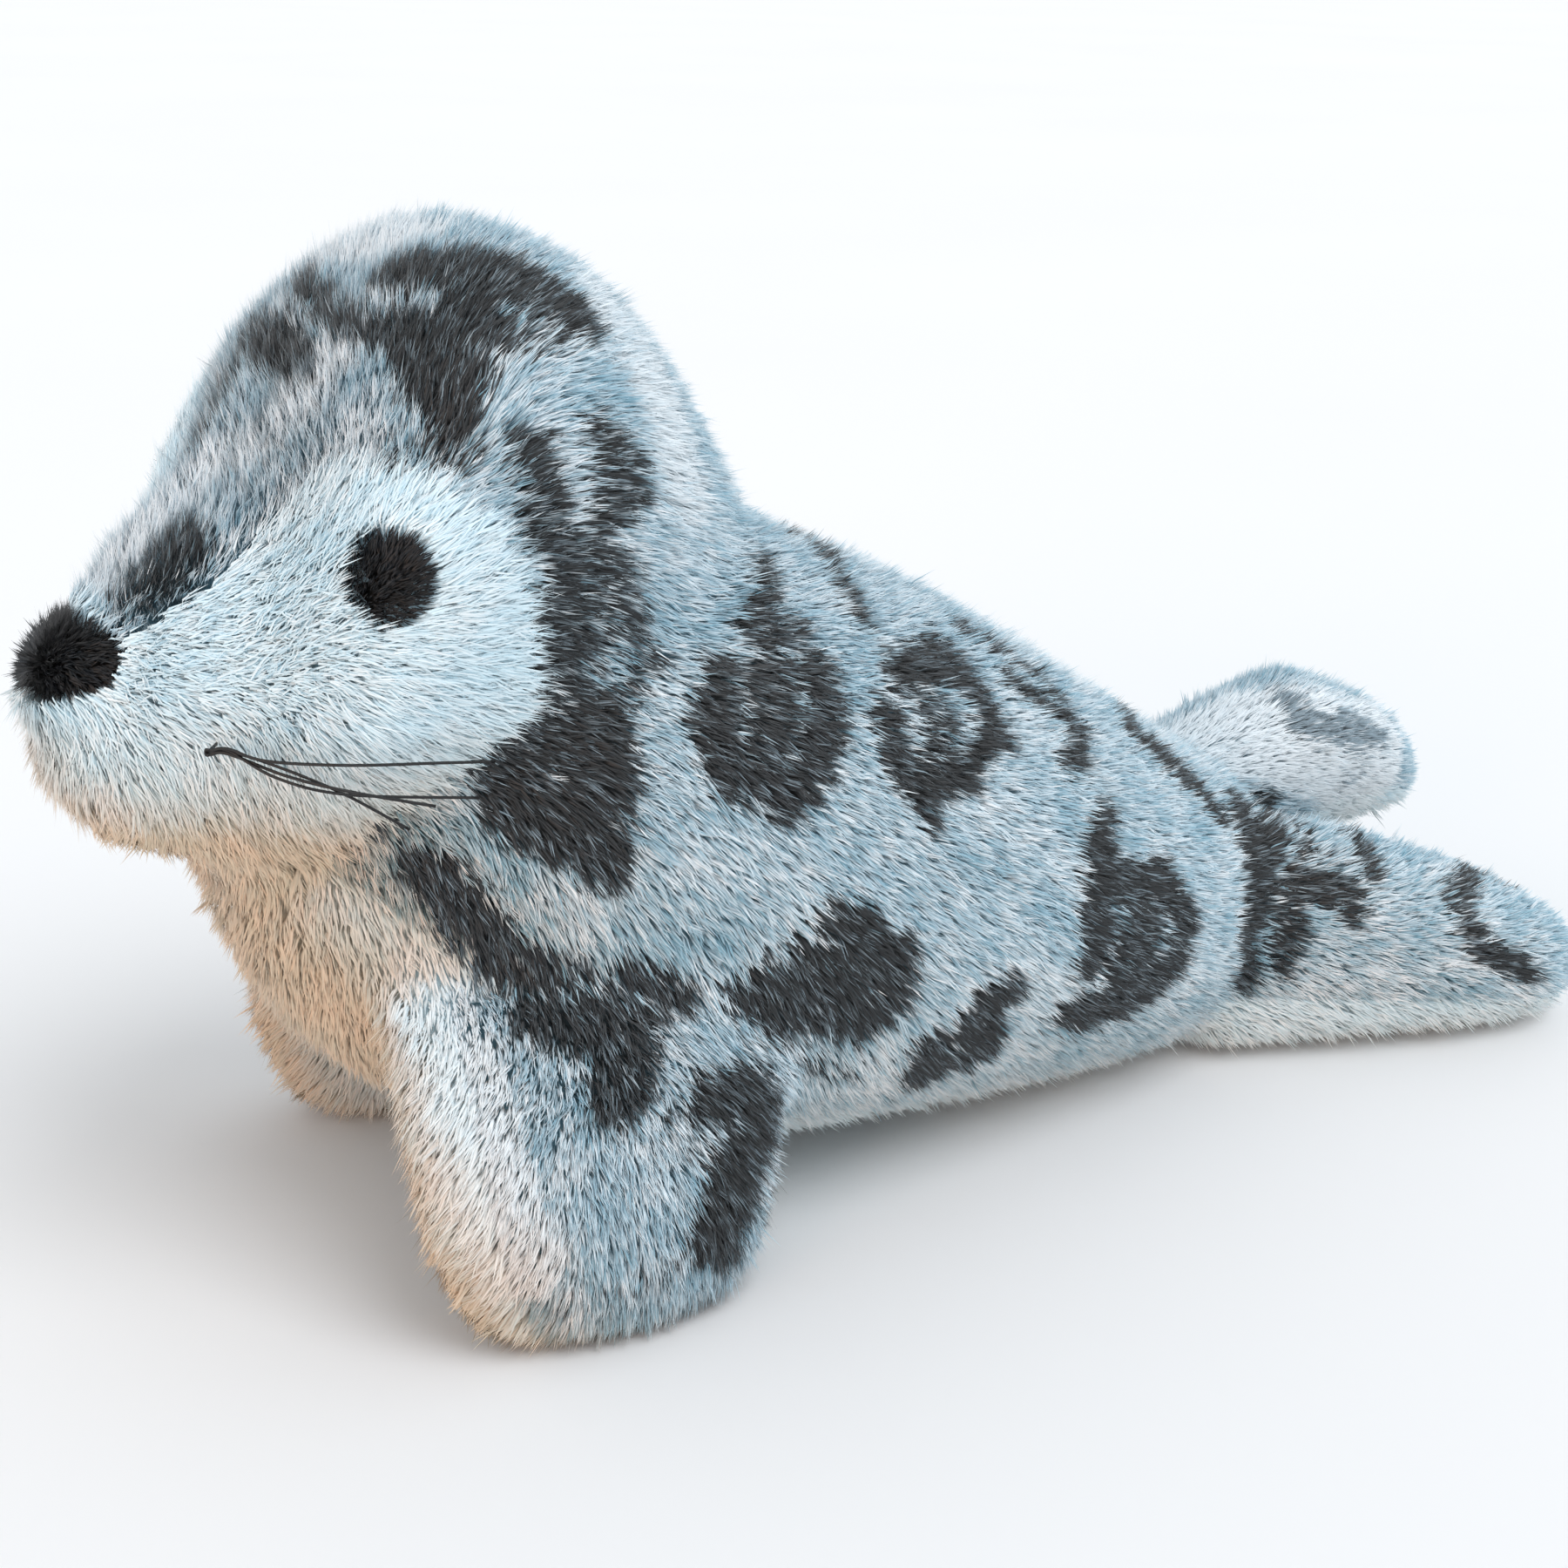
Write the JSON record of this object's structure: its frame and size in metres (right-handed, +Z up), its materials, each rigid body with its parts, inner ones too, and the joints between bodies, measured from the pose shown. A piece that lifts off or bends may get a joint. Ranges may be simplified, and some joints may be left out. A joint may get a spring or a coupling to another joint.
{
  "type": "plush seal dog toy",
  "caption": "Stuffed plush seal for a dog to carry and chew: spotted fur panels, white face and belly, black nose and eyes, flippers, thread whiskers and a squeaker inside.",
  "frame": {"origin": "on the floor, at the middle of the toy's bounding box seen from above", "axes": "+Z up, -X the way the nose points, +Y the toy's right side; the head and body are the same on both sides of Y = 0"},
  "size_m": [0.3022, 0.1104, 0.1605],
  "materials": {
    "spotted_plush": "deep pile plush, blue-grey with charcoal spots",
    "white_plush": "deep pile plush, white",
    "black_plush": "short pile plush, black",
    "polyester_stuffing": "polyester fibre fill",
    "whisker_thread": "waxed black thread",
    "squeaker_rubber": "soft moulded vinyl"
  },
  "bodies": {
    "root": {"head_panel_left": "spotted_plush", "face_patch_left": "white_plush", "eye_left": "black_plush", "whiskers_left": "whisker_thread", "back_panel_left": "spotted_plush", "head_panel_right": "spotted_plush", "face_patch_right": "white_plush", "eye_right": "black_plush", "whiskers_right": "whisker_thread", "back_panel_right": "spotted_plush", "chest_and_belly_panel": "white_plush", "nose": "black_plush", "front_flipper_left_top": "spotted_plush", "front_flipper_left_underside": "white_plush", "front_flipper_left_stuffing": "polyester_stuffing", "front_flipper_right_top": "spotted_plush", "front_flipper_right_underside": "white_plush", "front_flipper_right_stuffing": "polyester_stuffing", "tail_flipper_left_top": "spotted_plush", "tail_flipper_left_underside": "white_plush", "tail_flipper_left_stuffing": "polyester_stuffing", "tail_flipper_right_top": "spotted_plush", "tail_flipper_right_underside": "white_plush", "tail_flipper_right_stuffing": "polyester_stuffing", "body_stuffing": "polyester_stuffing", "stuffing_wad": "polyester_stuffing", "squeaker_bulb": "squeaker_rubber", "squeaker_reed": "squeaker_rubber"}
  },
  "joints": []
}
